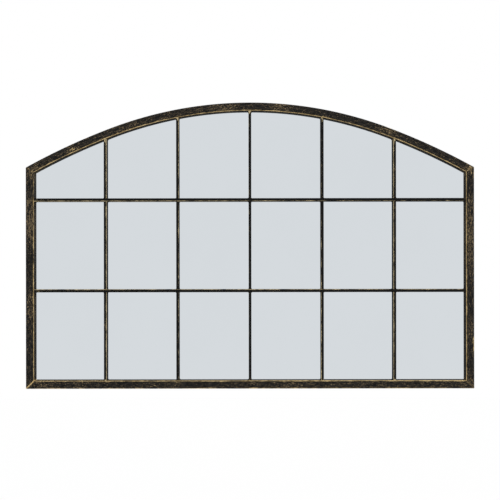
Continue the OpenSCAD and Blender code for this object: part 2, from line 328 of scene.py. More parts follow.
def read_wear(tree, name):
    node = tree.nodes.new("ShaderNodeAttribute")
    node.attribute_name = name
    return node.outputs["Fac"]


def object_place(tree):
    return tree.nodes.new("ShaderNodeTexCoord").outputs["Object"]


def raised(tree, shader, height, distance, strength=1.0):
    """Bump from a height between 0 and 1, where 1 stands distance high."""
    node = tree.nodes.new("ShaderNodeBump")
    node.inputs["Distance"].default_value = distance
    node.inputs["Strength"].default_value = strength
    feed(tree, node.inputs["Height"], height)
    tree.links.new(node.outputs["Normal"], shader.inputs["Normal"])


def distressed_black(name, edges, blacks, golds, brown):
    """Black with brown strokes, and gold dry brushed on the edges, partly a painted highlight on the
    inner edges. An edge is the layer that tells how much gold it has, its place across the face, and
    how far its gold reaches below and above that. Blacks and golds each run from the first colour to the
    second."""
    material, tree, shader = new_finish(name, specular_ior_level=0.08)
    place = object_place(tree)
    brush_map = tree.nodes.new("ShaderNodeUVMap")
    brush_map.uv_map = "brush"
    brush = brush_map.outputs[0]
    split = tree.nodes.new("ShaderNodeSeparateXYZ")
    tree.links.new(brush, split.inputs[0])
    across = split.outputs[1]

    mottle = cloud(tree, brush, (0.013, 0.0045, 1), detail=5, roughness=0.65)
    broad = cloud(tree, place, 0.12, detail=3)
    strokes = cloud(tree, brush, (0.04, 0.004, 1), detail=4, roughness=0.6)
    streaks = cloud(tree, brush, (0.016, 0.003, 1), detail=3, roughness=0.7)
    slanted = cloud(tree, brush, (0.014, 0.0034, 1), detail=3, roughness=0.7, turn=(0, 0, math.radians(12)))
    bristles = cloud(tree, brush, (0.011, 0.0009, 1), detail=3, roughness=0.7)
    grit = cloud(tree, brush, (0.0042, 0.0019, 1), detail=3, roughness=0.6)

    brown_here = read_wear(tree, "brown")
    brushed = weighed(tree, (streaks, 0.5), (slanted, 0.45), (grit, 0.85), (broad, 0.2), (strokes, 0.2),
                      (brown_here, 0.1))
    brushed = fade(tree, brushed, 1.16 - brown, 1.27 - brown)
    black = blended(tree, fade(tree, mottle, 0.4, 0.62), *blacks)
    face = blended(tree, brushed, black, shown(112, 97, 74))

    ragged = weighed(tree, (strokes, 0.55), (bristles, 0.45))
    held = cloud(tree, brush, (0.05, 0.3, 1), detail=5, roughness=0.72)
    # Gold lines along the edges; on the inner edges they are partly a painted highlight
    gold_and_highlight = 0.0
    for layer, at, below, above in edges:
        gap = maths(tree, "SUBTRACT", across, at)
        gap = maths(tree, "MAXIMUM", maths(tree, "DIVIDE", gap, above), maths(tree, "DIVIDE", gap, -below))
        gap = weighed(tree, (gap, 1.0), (ragged, -4.0), (1.0, 2.0))
        kept = fade(tree, weighed(tree, (read_wear(tree, layer), 0.4), (held, 1.0)), 0.68, 0.9)
        line = maths(tree, "MULTIPLY", fade(tree, gap, 0.7, 1.0, 1, 0), kept)
        gold_and_highlight = maths(tree, "MAXIMUM", gold_and_highlight, line)

    seam = fade(tree, read_wear(tree, "seam_gap"), 0.0006, 0.002, 1, 0)
    seam = maths(tree, "MULTIPLY", seam, read_wear(tree, "seam_gold"))
    dabs = weighed(tree, (read_wear(tree, "gold"), 0.4), (ragged, 0.9), (slanted, 0.7), (grit, 0.5))
    dabs = fade(tree, dabs, 1.29, 1.44)
    flecks = weighed(tree, (grit, 1.0), (mottle, 0.3), (brown_here, 0.06))
    flecks = fade(tree, flecks, 0.83 - brown / 2, 0.9 - brown / 2, 0, 0.7)
    for more in (seam, dabs, flecks):
        gold_and_highlight = maths(tree, "MAXIMUM", gold_and_highlight, more)

    gold = blended(tree, fade(tree, mottle, 0.38, 0.62), *golds)
    feed(tree, shader.inputs["Base Color"], blended(tree, gold_and_highlight, face, gold))
    feed(tree, shader.inputs["Metallic"], maths(tree, "MULTIPLY", gold_and_highlight, 0.5))
    feed(tree, shader.inputs["Roughness"], weighed(tree, (1.0, 0.54), (mottle, 0.25), (gold_and_highlight, -0.12)))
    raised(tree, shader, weighed(tree, (gold_and_highlight, 0.35), (strokes, 0.4), (grit, 0.25)), 0.0002, 0.6)
    return material


def seam_plane(outer, inner, side):
    """A mitre as its outer corner and the seam's normal, which points down. Side is -1 on the left."""
    line = (inner - outer).normalized()
    return Vector((side * outer.x, 0, outer.z)), Vector((-side * line.z, 0, line.x))


def other_way(plane):
    return plane[0], -plane[1]


def mitred_frame(width, depth, corner, y):
    """The mitred tubes of a frame as meshes by name, with their inner front edges at depth y."""
    side_x = half_w - width
    low_z = bottom_z + width
    rise = corner_z - low_z + 2 * past_mitre
    meshes = {}

    start = Vector((-side_x - past_mitre, y, low_z))
    bm, loop = tube_outline(width, depth, corner, start, (0, 0, -1), (1, 0, 0))
    draw_straight(bm, loop, Vector((2 * (side_x + past_mitre), 0, 0)))
    cut_mitre(bm, *other_way(low_seams[0]))
    cut_mitre(bm, *other_way(low_seams[1]))
    meshes["bottom_rail"] = bm

    for stile, side, low_seam, top_seam in (
        ("left_stile", -1, low_seams[0], top_seams[0]),
        ("right_stile", 1, low_seams[1], top_seams[1]),
    ):
        start = Vector((side * side_x, y, low_z - past_mitre))
        bm, loop = tube_outline(width, depth, corner, start, (side, 0, 0), (0, 0, 1), brush_from=3 + side)
        draw_straight(bm, loop, Vector((0, 0, rise)))
        cut_mitre(bm, *low_seam)
        cut_mitre(bm, *other_way(top_seam))
        meshes[stile] = bm

    start = Vector((0, y, crown_z - width))
    bm, loop = tube_outline(width, depth, corner, start, (0, 0, 1), (1, 0, 0), brush_from=6)
    haunch_turn = arch_lean(half_w, 0) - joint_lean + past_mitre / haunch_r
    to_left_end = turned(left_haunch, -haunch_turn) @ turned(crown_centre, -joint_lean)
    bmesh.ops.transform(bm, matrix=to_left_end, verts=bm.verts[:])
    loop = draw_round(bm, loop, left_haunch, haunch_turn, haunch_r - width)
    loop = draw_round(bm, loop, crown_centre, 2 * joint_lean, crown_r - width)
    draw_round(bm, loop, right_haunch, haunch_turn, haunch_r - width)
    cut_mitre(bm, *top_seams[0])
    cut_mitre(bm, *top_seams[1])
    meshes["arch"] = bm
    return meshes


outer_top = Vector((half_w, 0, corner_z))
inner_top = Vector((half_w - face_w, 0, arch_height(half_w - face_w, face_w)))
outer_low = Vector((half_w, 0, bottom_z))
inner_low = outer_low + Vector((-face_w, 0, face_w))
top_seams = [seam_plane(outer_top, inner_top, side) for side in (-1, 1)]
low_seams = [seam_plane(outer_low, inner_low, side) for side in (-1, 1)]

# The gold left on the seams, at the top and then at the bottom, left before right
seam_golds = list(zip(top_seams + low_seams, (0.15, 0.2, 1.0, 0.15)))

# Place along X, height over the bottom edge, reach along X, reach up, gold, brown
frame_spots = [
    (-0.437, 0.588, 0.018, 0.012, 0.75, 0.5),
    (-0.530, 0.535, 0.024, 0.020, 0.50, 0.9),
    (-0.315, 0.642, 0.050, 0.020, 0.05, 0.3),
    (-0.050, 0.688, 0.030, 0.012, 0.45, 0.8),
    (0.080, 0.690, 0.034, 0.012, 0.25, 1.0),
    (0.336, 0.634, 0.032, 0.016, 0.45, 1.0),
    (0.534, 0.538, 0.018, 0.022, 0.55, 0.9),
    (-0.520, 0.010, 0.030, 0.012, 0.35, 0.5),
    (-0.430, 0.010, 0.050, 0.014, 0.00, 0.2),
    (-0.255, 0.006, 0.026, 0.008, 0.50, 0.5),
    (0.110, 0.010, 0.060, 0.014, 0.15, 0.7),
    (0.300, 0.010, 0.060, 0.014, 0.05, 0.5),
    (0.535, 0.014, 0.020, 0.020, 0.55, 0.9),
    (-0.540, 0.463, 0.012, 0.010, 0.50, 0.9),
    (-0.540, 0.400, 0.012, 0.045, 0.10, 1.0),
    (-0.536, 0.225, 0.010, 0.022, 0.45, 1.0),
    (-0.540, 0.185, 0.012, 0.026, 0.25, 1.0),
    (0.540, 0.463, 0.012, 0.010, 0.35, 0.8),
    (0.540, 0.370, 0.012, 0.075, 0.15, 1.0),
    (0.542, 0.145, 0.010, 0.024, 0.10, 0.9),
    (0.549, 0.105, 0.004, 0.030, 0.95, 0.3),
]

upright_nodes = [f"vertical_bar_{number}" for number in range(1, 6)]
upright_xs = [sum(corner.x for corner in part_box(node)) / 2 for node in upright_nodes]
weld_spots = [
    spot for x in upright_xs for spot in (
        (x, arch_height(x, face_w) - bottom_z - 0.002, 0.005, 0.009, 0.95, 1.0),
        (x, face_w + 0.001, 0.005, 0.006, 0.7, 0.8),
    )
]

# Gold on the tube: a line on the inner edge of its face, partly a painted highlight, and a thinner one on
# the outer edge
tube_edges = [("inner_gold", 0.0, 0.0003, 0.0019), ("outer_gold", face_w, 0.0018, 0.001)]
tube_blacks = (shown(16, 16, 16), shown(46, 43, 39))
tube_golds = (shown(162, 138, 92), shown(222, 196, 144))
tube_finish = distressed_black("distressed_tube", tube_edges, tube_blacks, tube_golds, brown=0.0)
# Gold and painted highlight on the inner edge at the start and the end, and gold on the outer edge. The
# right stile's outer edge has more than the left's, partly as a painted highlight from the lamp side.
tube_edge_gold_and_highlight = {
    "arch": (0.95, 1.1, 0.1),
    "left_stile": (1.05, 0.65, 0.1),
    "right_stile": (1.05, 1.0, 0.5),
    "bottom_rail": (0.85, 1.05, 0.75),
}

# Brown away from the spots, which the bottom rail has the least of
tube_brown = {"arch": 0.0, "left_stile": 0.0, "right_stile": 0.0, "bottom_rail": -0.9}

for member, bm in mitred_frame(face_w, front_d, tube_round, front_y).items():
    wear(bm, tube_edge_gold_and_highlight[member], frame_spots + weld_spots, seam_golds, tube_brown[member])
    lay_brush_map(bm)
    finished_piece(f"{member}_tube", bm, [tube_finish], [f"{member}_front"])


# The glazing bars. Steel flat bar on edge, 6 mm wide and 15 mm deep, with its arrises rubbed down.
# Uprights and cross bars are halved into each other, so that the cross bars run through in front,
# and their ends butt on the tubes. They have the frame's finish, laid on thick, which gathers under
# the cross bars, and gold mostly on the edges towards the middle. This gold is partly a painted
# highlight of the lit edges that face the middle.
bar_low, bar_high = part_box("lower_bar")
paint_t = 0.00035
run_t = 0.0009
bar_w = bar_high.z - bar_low.z + 2 * paint_t
cross_w = bar_high.z - bar_low.z + paint_t + run_t
bar_d = bar_high.y - bar_low.y
bar_front_y = bar_low.y
bar_back_y = bar_high.y
bar_arris = 0.0003
cross_bars = {node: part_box(node)[0].z - run_t for node in ("lower_bar", "upper_bar")}
halved_front = Matrix.Translation((0, bar_back_y / 2, 0)) @ Matrix.Diagonal((1, 0.5, 1, 1))
halved_back = Matrix.Translation((0, bar_front_y / 2, 0)) @ Matrix.Diagonal((1, 0.5, 1, 1))
notch_draft = 0.00002


def halved_bar(bm, loop, direction, notch_places, notch_w, end, halving):
    """Draws a bar on from place to place along its direction. At each notch half its depth is gone, and
    the notch's ends lean by the draft."""
    reached = 0.0
    leaning = Matrix.Translation(direction * notch_draft)
    for place in notch_places:
        loop = draw_straight(bm, loop, direction * (place - reached))
        loop = draw_on(bm, loop, leaning @ halving, 1, notch_draft)
        loop = draw_straight(bm, loop, direction * (notch_w - 2 * notch_draft))
        loop = draw_on(bm, loop, leaning @ halving.inverted(), 1, notch_draft)
        reached = place + notch_w
    return draw_straight(bm, loop, direction * (end - reached))


# The bars' gold line runs only on the edge towards the middle, partly as a painted highlight
bar_edges = [("inner_gold", 0.0, 0.0004, 0.0011)]
bar_blacks = (shown(8, 8, 8), shown(26, 25, 23))
bar_golds = (shown(172, 156, 120), shown(222, 204, 162))
bar_finish = distressed_black("distressed_bar", bar_edges, bar_blacks, bar_golds, brown=-0.11)

# How much gold and painted highlight the inner edge has at the bottom and at the top, or at the left and at
# the right
upright_gold_and_highlight = [(1.0, 1.1), (0.6, 0.75), (0.4, 0.6), (0.9, 0.35), (0.9, 0.95)]
cross_gold_and_highlight = {"upper_bar": (1.0, 0.55), "lower_bar": (0.8, 0.7)}

# Brown and gold left on the bars, in the same order of numbers as on the frame
bar_spots = [
    (-0.515, 0.464, 0.020, 0.006, 0.40, 1.0),
    (-0.515, 0.241, 0.022, 0.006, 0.35, 1.0),
    (0.520, 0.464, 0.014, 0.006, 0.45, 1.0),
    (0.520, 0.241, 0.012, 0.006, 0.40, 1.0),
    (0.355, 0.400, 0.006, 0.150, 0.10, 1.0),
    (-0.355, 0.130, 0.006, 0.090, 0.10, 1.0),
    (0.060, 0.241, 0.050, 0.006, 0.15, 1.0),
]

low_z = bottom_z + face_w
for number, (node, x) in enumerate(zip(upright_nodes, upright_xs)):
    outward = 1 if x > -bar_w else -1
    start = Vector((x - outward * bar_w / 2, bar_front_y, low_z))
    bm, loop = tube_outline(
        bar_w, bar_d, bar_arris, start, (outward, 0, 0), (0, 0, 1), brush_from=10 + number)
    top = Vector((x, 0, arch_height(x, face_w)))
    notches = [z - low_z for z in cross_bars.values()]
    halved_bar(bm, loop, Vector((0, 0, 1)), notches, cross_w, top.z - low_z + bar_w, halved_front)
    lean = arch_lean(x, face_w)
    cut_off(bm, top, Vector((math.sin(lean), 0, math.cos(lean))))
    bmesh.ops.holes_fill(bm, edges=bm.edges[:], sides=0)
    wear(bm, (*upright_gold_and_highlight[number], 0), bar_spots + weld_spots)
    lay_brush_map(bm)
    finished_piece(f"upright_{number + 1}", bm, [bar_finish], [node])

for (node, z), outward in zip(cross_bars.items(), (-1, 1)):
    inner_z = z if outward > 0 else z + cross_w
    start = Vector((bar_low.x, bar_front_y, inner_z))
    bm, loop = tube_outline(
        cross_w, bar_d, bar_arris, start, (0, 0, outward), (1, 0, 0), brush_from=20 + outward)
    notches = [x - bar_w / 2 - bar_low.x for x in upright_xs]
    halved_bar(bm, loop, Vector((1, 0, 0)), notches, bar_w, bar_high.x - bar_low.x, halved_back)
    bmesh.ops.holes_fill(bm, edges=bm.edges[:], sides=0)
    wear(bm, (*cross_gold_and_highlight[node], 0), bar_spots)
    lay_brush_map(bm)
    finished_piece(f"cross_{node}", bm, [bar_finish], [node])


# The welds. A short bead runs back in each corner where two bars cross and beside each bar's end.
# It is laid by hand in overlapping drops, and painted with the frame.
bead_r = 0.0014
drop_pitch = 0.0012
first_drop = 0.35


def weld_bead(bm):
    """One bead along Y, from just behind the bars' front to the glass."""
    along = bm.verts.layers.float["along"]
    around = bm.verts.layers.float["around"]
    ring = bmesh.ops.create_circle(bm, radius=bead_r, segments=10)["verts"]
    back = bar_front_y + drop_pitch / 2
    stand = Matrix.Translation((0, back, 0)) @ Matrix.Rotation(math.pi / 2, 4, "X")
    size = first_drop
    bmesh.ops.transform(bm, matrix=stand @ Matrix.Scale(size, 4), verts=ring)
    for vert in ring:
        vert[along] = 30
        vert[around] = bar_w / 2
    edges = bm.edges[:]
    drops = round((bar_back_y - back) / drop_pitch)
    for drop in range(2 * drops):
        wanted = 0.93 + 0.07 * (-1) ** drop + 0.1 * math.sin(2.3 * drop)
        thicker = Matrix.Diagonal((wanted / size, 1, wanted / size, 1))
        edges = draw_on(bm, edges, Matrix.Translation((0, drop_pitch / 2, 0)) @ thicker, 1, drop_pitch / 2)
        size = wanted
    bmesh.ops.holes_fill(bm, edges=bm.edges[:], sides=0)


bead_places = []
for bar_z in cross_bars.values():
    for z in (bar_z, bar_z + cross_w):
        bead_places += [(x + side * bar_w / 2, z) for x in upright_xs for side in (-1, 1)]
        bead_places += [(side * bar_high.x, z) for side in (-1, 1)]
for x in upright_xs:
    for side in (-1, 1):
        edge_x = x + side * bar_w / 2
        bead_places += [(edge_x, low_z), (edge_x, arch_height(edge_x, face_w))]

bm = bmesh.new()
bm.verts.layers.float.new("around")
bm.verts.layers.float.new("along")
weld_bead(bm)
bead = bm.verts[:] + bm.edges[:] + bm.faces[:]
for number, (x, z) in enumerate(bead_places):
    copy = verts_in(bmesh.ops.duplicate(bm, geom=bead)["geom"])
    turn = Matrix.Rotation(1.9 * number, 4, "Y")
    uneven = Matrix.Diagonal((1 + 0.15 * math.sin(4.1 * number), 1, 1, 1))
    bmesh.ops.transform(bm, matrix=Matrix.Translation((x, 0, z)) @ turn @ uneven, verts=copy)
bmesh.ops.delete(bm, geom=verts_in(bead), context="VERTS")
wear(bm, (0, 0, 0), bar_spots + weld_spots)
lay_brush_map(bm)
finished_piece("weld_beads", bm, [bar_finish], [])


# The rear frame. Four lengths of 10 mm square steel tube, flush with the outside of the front tube,
# leave the rebate that the mirror lies in. They are welded like the front frame and only sprayed
# a flat black, which is thin and dusty in places.
rear_low, rear_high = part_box("bottom_rail_rear")
rear_w = rear_high.z - rear_low.z
rear_d = rear_high.y - rear_low.y
rear_round = 0.0012

black_paint, tree, shader = new_finish("flat_black_paint", specular_ior_level=0.3)
place = object_place(tree)
dust = cloud(tree, place, 0.03, detail=7, roughness=0.65)
peel = cloud(tree, place, 0.0011, detail=2.0)
thin = cloud(tree, place, 0.005, detail=5, roughness=0.7)
paint = blended(tree, fade(tree, dust, 0.4, 0.68), shown(27, 27, 27), shown(50, 48, 45))
paint = blended(tree, fade(tree, thin, 0.66, 0.74, 0, 0.7), paint, shown(96, 92, 84))
feed(tree, shader.inputs["Base Color"], paint)
feed(tree, shader.inputs["Roughness"], weighed(tree, (1.0, 0.52), (dust, 0.3)))
raised(tree, shader, weighed(tree, (peel, 0.7), (thin, 0.3)), 0.00012, 0.7)

for member, bm in mitred_frame(rear_w, rear_d, rear_round, rear_low.y).items():
    for layer in ("along", "around"):
        bm.verts.layers.float.remove(bm.verts.layers.float[layer])
    finished_piece(f"{member}_rear_tube", bm, [black_paint], [f"{member}_rear"])


# The glazing tape. Double-sided foam tape, 1 mm thick, on the back of the front tubes. The glass is
# pressed onto it, and only its edge can be seen.
tape_foam, tree, shader = new_finish("foam_tape", roughness=0.85)
place = object_place(tree)
cells = cloud(tree, place, 0.0004, detail=2)
feed(tree, shader.inputs["Base Color"], blended(
    tree, fade(tree, cells, 0.4, 0.6), shown(206, 203, 194), shown(228, 226, 219)))
raised(tree, shader, cells, 0.0001, 0.5)
frame["nodes"]["glazing_tape"].data.materials[0] = tape_foam


# The mirror. One sheet of 4 mm silvered float glass with ground arrises, cut to the arch. It is
# a little smaller than the rebate, and its back has a grey protective paint over the silver.
glass_low, glass_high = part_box("mirror_glass")
glass_inset = half_w - glass_high.x
glass_arris = 0.0004


def bevel_edges(bm, edges, offset, segments):
    bmesh.ops.bevel(bm, geom=edges, offset=offset, offset_type="OFFSET", segments=segments, profile=0.5,
                    affect="EDGES", material=-1, clamp_overlap=True)


def rims_of(bm, ease):
    """The edges round both faces of a sheet that lies square to Y."""
    return [edge for edge in bm.edges if abs(edge.verts[0].co.y - edge.verts[1].co.y) < ease]


def arched_sheet(low_y, high_y, arris):
    """A flat sheet cut to the arch, with eased edges. Its front has material 0, its edges have 1 and its
    back has 2."""
    bm = bmesh.new()
    tip = bmesh.ops.create_vert(bm, co=(0, low_y, crown_z - glass_inset))["vert"]
    haunch_turn = arch_lean(half_w - glass_inset, glass_inset) - joint_lean
    for centre, turn, steps in (crown_centre, joint_lean, 44), (right_haunch, haunch_turn, 26):
        spun = bmesh.ops.spin(bm, geom=tip, cent=centre, axis=(0, 1, 0), angle=turn, steps=steps)
        tip = verts_in(spun["geom_last"])
    corner = tip[0].co
    for move in (0, 0, bottom_z + glass_inset - corner.z), (-corner.x, 0, 0):
        tip = bmesh.ops.extrude_vert_indiv(bm, verts=tip)["verts"]
        bmesh.ops.translate(bm, vec=move, verts=tip)
    half = bm.verts[:] + bm.edges[:]
    bmesh.ops.mirror(bm, geom=half, matrix=Matrix.Identity(4), merge_dist=0.00001, axis="X")
    bmesh.ops.remove_doubles(bm, verts=bm.verts[:], dist=0.00001)
    outline = bm.edges[:]
    front = bmesh.ops.contextual_create(bm, geom=outline)["faces"]
    back = bmesh.ops.extrude_face_region(bm, geom=front, use_keep_orig=True)["geom"]
    bmesh.ops.translate(bm, vec=(0, high_y - low_y, 0), verts=verts_in(back))
    bevel_edges(bm, rims_of(bm, arris), arris, segments=1)
    bm.normal_update()
    for face in bm.faces:
        if abs(face.normal.y) < 0.99:
            face.material_index = 1
        elif face.calc_center_median().y > (low_y + high_y) / 2:
            face.material_index = 2
    return bm


silvered, tree, shader = new_finish("silvered_glass", metallic=1.0, ior=1.52)
place = object_place(tree)
smudge = cloud(tree, place, 0.2, detail=6, roughness=0.6)
haze = cloud(tree, place, 0.017, detail=6, roughness=0.7)
feed(tree, shader.inputs["Base Color"], blended(
    tree, fade(tree, smudge, 0.35, 0.75), shown(213, 218, 222), shown(212, 217, 221)))
feed(tree, shader.inputs["Roughness"], weighed(tree, (1.0, 0.004), (haze, 0.012), (smudge, 0.01)))
raised(tree, shader, cloud(tree, place, 0.3, detail=1), 0.00002, 0.3)

glass_edge, tree, shader = new_finish("ground_glass_edge", roughness=0.35, specular_ior_level=0.6)
grind = cloud(tree, object_place(tree), (0.0007, 0.00024, 0.0007), detail=3)
feed(tree, shader.inputs["Base Color"], blended(
    tree, fade(tree, grind, 0.4, 0.65), shown(112, 142, 128), shown(152, 176, 164)))
raised(tree, shader, grind, 0.00008, 0.5)

backing_paint, tree, shader = new_finish("mirror_back_paint", roughness=0.6)
roller = cloud(tree, object_place(tree), 0.0033, detail=4)
feed(tree, shader.inputs["Base Color"], blended(
    tree, fade(tree, roller, 0.35, 0.7), shown(104, 108, 110), shown(122, 125, 126)))
raised(tree, shader, roller, 0.00005, 0.5)

bm = arched_sheet(glass_low.y, glass_high.y, glass_arris)
finished_piece(
    "mirror_sheet", bm, [silvered, glass_edge, backing_paint], ["mirror_glass"], smooth_below=20)


# The setting blocks. Two black rubber blocks on the rear bottom tube carry the glass and the board
# on their edges.
block_rubber, tree, shader = new_finish("block_rubber", specular_ior_level=0.35)
grain = cloud(tree, object_place(tree), 0.0007, detail=3)
feed(tree, shader.inputs["Base Color"], blended(
    tree, fade(tree, grain, 0.35, 0.7), shown(38, 38, 38), shown(56, 56, 55)))
feed(tree, shader.inputs["Roughness"], weighed(tree, (1.0, 0.6), (grain, 0.25)))
raised(tree, shader, grain, 0.00015, 0.6)
frame["nodes"]["setting_blocks"].data.materials[0] = block_rubber


# The foam sheet. Closed-cell foam, 1 mm thick, between the painted back of the glass and the board.
white_foam, tree, shader = new_finish("closed_cell_foam", roughness=0.8)
cells = tree.nodes.new("ShaderNodeTexVoronoi")
cells.inputs["Scale"].default_value = 1300
feed(tree, cells.inputs["Vector"], object_place(tree))
walls = fade(tree, cells.outputs["Distance"], 0.1, 0.7)
feed(tree, shader.inputs["Base Color"], blended(tree, walls, shown(238, 238, 234), shown(216, 216, 210)))
raised(tree, shader, walls, 0.0001, 0.5)
frame["nodes"]["foam_sheet"].data.materials[0] = white_foam


# The backing board. Tempered hardboard, 4 mm thick, sawn to the same shape as the glass. Its smooth
# side faces the wall, with fine fibres and a few darker specks pressed into it.
board_low, board_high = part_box("backing_board")
board_arris = 0.0005

hardboard, tree, shader = new_finish("tempered_hardboard", specular_ior_level=0.35)
place = object_place(tree)
pulp = cloud(tree, place, 0.03, detail=7, roughness=0.72)
fibres = cloud(tree, place, (0.0011, 0.0011, 0.006), detail=5, roughness=0.7, turn=(0, 0.5, 0))
crossed = cloud(tree, place, (0.006, 0.0011, 0.0011), detail=5, roughness=0.7, turn=(0, 0.4, 0))
specks = cloud(tree, place, 0.0024, detail=3, roughness=0.5)
matted = weighed(tree, (fibres, 0.5), (crossed, 0.5))
brown = blended(tree, fade(tree, pulp, 0.35, 0.68), shown(126, 93, 62), shown(136, 101, 68))
brown = blended(tree, fade(tree, matted, 0.42, 0.62, 0, 0.55), brown, shown(96, 66, 42))
brown = blended(tree, fade(tree, specks, 0.68, 0.74, 0, 0.8), brown, shown(58, 38, 24))
feed(tree, shader.inputs["Base Color"], brown)
feed(tree, shader.inputs["Roughness"], weighed(tree, (1.0, 0.42), (matted, 0.25), (pulp, 0.1)))
raised(tree, shader, weighed(tree, (matted, 0.8), (specks, -0.3)), 0.00012, 0.6)

sawn_edge, tree, shader = new_finish("sawn_hardboard_edge", roughness=0.85)
fuzz = cloud(tree, object_place(tree), (0.0014, 0.0004, 0.0014), detail=5, roughness=0.7)
feed(tree, shader.inputs["Base Color"], blended(
    tree, fade(tree, fuzz, 0.36, 0.66), shown(108, 78, 50), shown(158, 122, 86)))
raised(tree, shader, fuzz, 0.0003, 0.8)

bm = arched_sheet(board_low.y, board_high.y, board_arris)
finished_piece(
    "board_sheet", bm, [hardboard, sawn_edge, hardboard], ["backing_board"], smooth_below=20)


# The turn buttons. Ten flat steel tongues with round ends, stamped and zinc plated, hold the board
# in. Each turns on its own pan head screw in the back of the rear tube.
button_low, button_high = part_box("bottom_turn_button_1")
button_w = button_high.x - button_low.x
button_l = button_high.z - button_low.z
button_y = (button_low.y, button_high.y)
button_edge = 0.00025
pivots = {joint["child"]: Vector(joint["pos_m"]) for joint in frame["joints"]}


def stamped_plate(width, length, corner, ease):
    """A flat plate in the XZ plane from the button's front to its back, with rounded corners."""
    bm = bmesh.new()
    quad = bmesh.ops.create_grid(bm, x_segments=1, y_segments=1, size=0.5)["verts"]
    stand = Matrix.Rotation(math.pi / 2, 4, "X") @ Matrix.Diagonal((width, length, 1, 1))
    bmesh.ops.transform(bm, matrix=Matrix.Translation((0, button_y[0], 0)) @ stand, verts=quad)
    bmesh.ops.bevel(bm, geom=quad, offset=corner, offset_type="OFFSET", segments=10, profile=0.5,
                    affect="VERTICES", material=-1)
    bmesh.ops.remove_doubles(bm, verts=bm.verts[:], dist=0.00001)
    back = bmesh.ops.extrude_face_region(bm, geom=bm.faces[:], use_keep_orig=True)["geom"]
    bmesh.ops.translate(bm, vec=(0, button_y[1] - button_y[0], 0), verts=verts_in(back))
    bevel_edges(bm, rims_of(bm, ease), ease, segments=2)
    return bm


def plated_steel(name, dull, bright, rough):
    """Plated steel: a fine crystal pattern, faint rubbing marks and duller patches."""
    material, tree, shader = new_finish(name, metallic=1.0)
    place = object_place(tree)
    crystals = tree.nodes.new("ShaderNodeTexVoronoi")
    crystals.inputs["Scale"].default_value = 700
    feed(tree, crystals.inputs["Vector"], place)
    patches = cloud(tree, place, 0.006, detail=5, roughness=0.65)
    marks = cloud(tree, place, (0.0034, 0.0034, 0.00024), detail=4, roughness=0.7, turn=(0, 0.3, 0))
    tone = weighed(tree, (patches, 0.7), (crystals.outputs["Distance"], 0.25), (marks, 0.3))
    feed(tree, shader.inputs["Base Color"], blended(tree, fade(tree, tone, 0.4, 0.85), dull, bright))
    feed(tree, shader.inputs["Roughness"], weighed(tree, (1.0, rough), (patches, 0.22), (marks, 0.12)))
    raised(tree, shader, weighed(tree, (marks, 0.7), (patches, 0.3)), 0.00005, 0.6)
    return material


zinc = plated_steel("zinc_plate", shown(122, 124, 124), shown(170, 172, 172), 0.22)
buttons = [body for body in pivots if "turn_button" in body]
for node in buttons:
    low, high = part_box(node)
    pivot = Vector((pivots[node].x, 0, pivots[node].z))
    middle = Vector(((low.x + high.x) / 2, 0, (low.z + high.z) / 2))
    tongue = middle - pivot
    bm = stamped_plate(button_w, button_l, button_w / 2, button_edge)
    swing = Matrix.Rotation(math.atan2(tongue.x, tongue.z), 4, "Y")
    bmesh.ops.transform(bm, matrix=Matrix.Translation(middle) @ swing, verts=bm.verts[:])
    finished_piece(f"{node}_tongue", bm, [zinc], [node], body=node)


# The button screws. Pan head self-tapping screws with a cross recess, zinc plated, one through each
# button into the rear tube.
head_r = 0.0035
head_h = 0.0026
dome_r = 2 * head_r
recess_d = 0.0012
recess_taper = 0.82
shank_r = 0.00175
shank_l = 0.004


def pan_head_screw(bm, x, seat_y, z, turn):
    """One screw with its head's seat at seat_y. The head's top is a grid of seven cells of 1 mm, whose
    middle ones make the cross. Its rim is drawn out to a circle."""
    top = bmesh.ops.create_grid(bm, x_segments=7, y_segments=7, size=head_r)["verts"]
    cell = 2 * head_r / 7
    cross = [face for face in faces_at(top) if sum(map(abs, face.calc_center_median())) < 1.5 * cell]
    for vert in top:
        square = max(abs(vert.co.x), abs(vert.co.y))
        round_part = max(0, (square - 1.5 * cell) / (head_r - 1.5 * cell))
        on_circle = vert.co.normalized() * square
        vert.co = vert.co.lerp(on_circle, round_part)
        vert.co.z = head_h - dome_r + math.sqrt(dome_r ** 2 - vert.co.length_squared)
    rim = [edge for edge in edges_among(top) if edge.is_boundary]
    bottom = verts_in(bmesh.ops.extrude_face_region(bm, geom=cross)["geom"])
    bmesh.ops.delete(bm, geom=cross, context="FACES")
    bmesh.ops.scale(bm, vec=(recess_taper, recess_taper, 1), verts=bottom)
    bmesh.ops.translate(bm, vec=(0, 0, -recess_d), verts=bottom)
    seat = verts_in(bmesh.ops.extrude_edge_only(bm, edges=rim)["geom"])
    for vert in seat:
        vert.co.z = 0
    stem = verts_in(bmesh.ops.extrude_edge_only(bm, edges=edges_among(seat))["geom"])
    bmesh.ops.scale(bm, vec=(shank_r / head_r, shank_r / head_r, 1), verts=stem)
    tip = verts_in(bmesh.ops.extrude_edge_only(bm, edges=edges_among(stem))["geom"])
    bmesh.ops.translate(bm, vec=(0, 0, -shank_l), verts=tip)
    screw = [vert for vert in dict.fromkeys(top + bottom + seat + stem + tip) if vert.is_valid]
    drive = Matrix.Rotation(turn, 4, "Y") @ Matrix.Rotation(-math.pi / 2, 4, "X")
    bmesh.ops.transform(bm, matrix=Matrix.Translation((x, seat_y, z)) @ drive, verts=screw)


bm = bmesh.new()
for number, node in enumerate(buttons):
    pivot = pivots[node]
    pan_head_screw(bm, pivot.x, button_y[1], pivot.z, math.radians(45 + 37 * number))
bmesh.ops.holes_fill(bm, edges=bm.edges[:], sides=0)
finished_piece("button_screws", bm, [zinc], ["turn_button_screws"])


